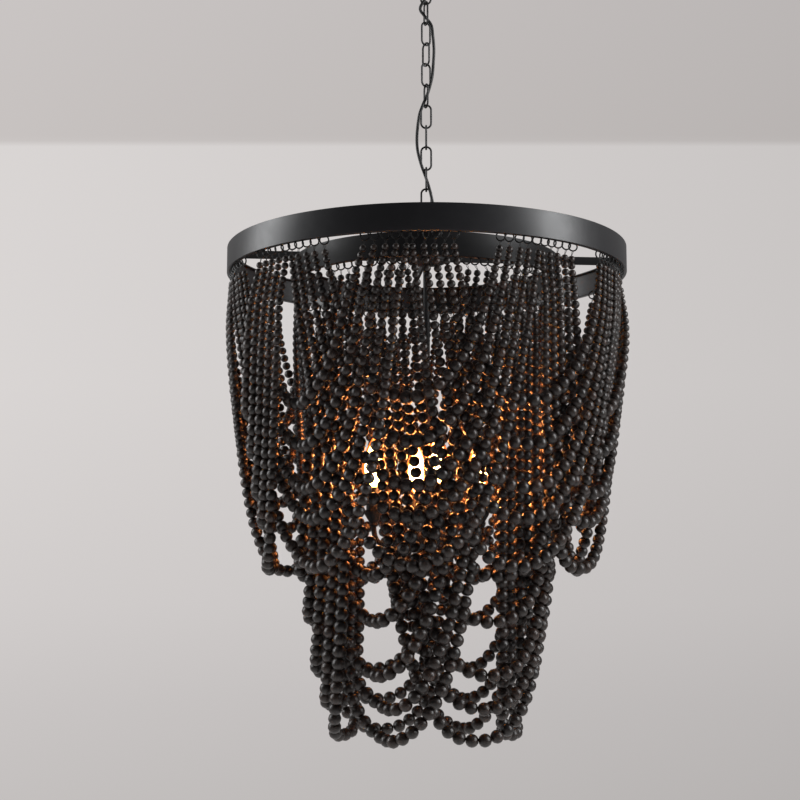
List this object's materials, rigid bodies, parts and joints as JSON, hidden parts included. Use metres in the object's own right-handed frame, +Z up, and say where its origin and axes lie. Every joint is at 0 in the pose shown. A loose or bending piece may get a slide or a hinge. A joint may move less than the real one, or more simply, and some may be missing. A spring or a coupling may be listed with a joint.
{
  "type": "beaded chandelier",
  "caption": "Hanging candle lamp with two black steel hoops on a chain, draped with nested swags of graduated dark wooden beads.",
  "frame": {"origin": "on the ceiling, at the middle of the canopy and its mounting strap", "axes": "+Z up into the ceiling, +X to the right and +Y away as the picture shows the lamp"},
  "size_m": [0.6098, 0.6024, 1.2265],
  "materials": {
    "black_steel": "satin black paint",
    "zinc_steel": "zinc plated",
    "black_rubber": "matt",
    "black_plastic": "matt",
    "dark_wood": "dark stain, low sheen",
    "bulb_glass": "frosted, lit warm"
  },
  "bodies": {
    "ceiling_fitting": {"mounting_strap": "zinc_steel", "threaded_nipple": "zinc_steel", "ceiling_canopy": "black_steel", "canopy_ring_nut": "black_steel", "ceiling_loop": "black_steel"},
    "first_link": {"chain_link_01": "black_steel"},
    "hanging_chain": {"chain_link_02": "black_steel", "chain_link_03": "black_steel", "chain_link_04": "black_steel", "chain_link_05": "black_steel", "chain_link_06": "black_steel", "chain_link_07": "black_steel", "chain_link_08": "black_steel", "chain_link_09": "black_steel", "chain_link_10": "black_steel", "chain_link_11": "black_steel", "chain_link_12": "black_steel", "power_cable": "black_rubber"},
    "chandelier": {"hub_loop": "black_steel", "spoked_hub": "black_steel", "hub_cover": "black_steel", "cable_grommet": "black_rubber", "hub_terminal_block": "black_plastic", "outer_hoop": "black_steel", "inner_hoop": "black_steel", "centre_rod": "black_steel", "lamp_wires": "black_rubber", "lamp_hub": "black_steel", "lamp_arm_and_cup_1": "black_steel", "lamp_holder_1": "black_plastic", "candle_sleeve_1": "black_steel", "lamp_arm_and_cup_2": "black_steel", "lamp_holder_2": "black_plastic", "candle_sleeve_2": "black_steel", "lamp_arm_and_cup_3": "black_steel", "lamp_holder_3": "black_plastic", "candle_sleeve_3": "black_steel", "lamp_arm_and_cup_4": "black_steel", "lamp_holder_4": "black_plastic", "candle_sleeve_4": "black_steel", "outer_swag_01": "dark_wood", "outer_swag_02": "dark_wood", "outer_swag_03": "dark_wood", "outer_swag_04": "dark_wood", "outer_swag_05": "dark_wood", "outer_swag_06": "dark_wood", "outer_swag_07": "dark_wood", "outer_swag_08": "dark_wood", "outer_swag_09": "dark_wood", "outer_swag_10": "dark_wood", "inner_swag_1": "dark_wood", "inner_swag_2": "dark_wood", "inner_swag_3": "dark_wood", "inner_swag_4": "dark_wood", "inner_swag_5": "dark_wood", "inner_swag_6": "dark_wood"},
    "bulb_1": {"bulb_1": "bulb_glass"},
    "bulb_2": {"bulb_2": "bulb_glass"},
    "bulb_3": {"bulb_3": "bulb_glass"},
    "bulb_4": {"bulb_4": "bulb_glass"}
  },
  "joints": [
    {"name": "swing_sideways", "type": "hinge", "parent": "ceiling_fitting", "child": "first_link", "pos_m": [0, 0, -0.0756], "axis": [0, 1, 0], "range_deg": [-20, 20], "deforming": ["power_cable"]},
    {"name": "swing_to_and_fro", "type": "hinge", "parent": "first_link", "child": "hanging_chain", "pos_m": [0, 0, -0.1081], "axis": [1, 0, 0], "range_deg": [-20, 20], "deforming": ["power_cable"]},
    {"name": "turn_on_chain", "type": "hinge", "parent": "hanging_chain", "child": "chandelier", "pos_m": [0, 0, -0.4696], "axis": [0, 0, 1], "range_deg": [-45, 45], "deforming": ["power_cable"]},
    {"name": "bulb_screw_1", "type": "hinge", "parent": "chandelier", "child": "bulb_1", "pos_m": [0.01389, -0.07878, -0.85], "axis": [0, 0, 1], "range_deg": [0, 1440]},
    {"name": "bulb_screw_2", "type": "hinge", "parent": "chandelier", "child": "bulb_2", "pos_m": [0.07878, 0.01389, -0.85], "axis": [0, 0, 1], "range_deg": [0, 1440]},
    {"name": "bulb_screw_3", "type": "hinge", "parent": "chandelier", "child": "bulb_3", "pos_m": [-0.01389, 0.07878, -0.85], "axis": [0, 0, 1], "range_deg": [0, 1440]},
    {"name": "bulb_screw_4", "type": "hinge", "parent": "chandelier", "child": "bulb_4", "pos_m": [-0.07878, -0.01389, -0.85], "axis": [0, 0, 1], "range_deg": [0, 1440]}
  ]
}
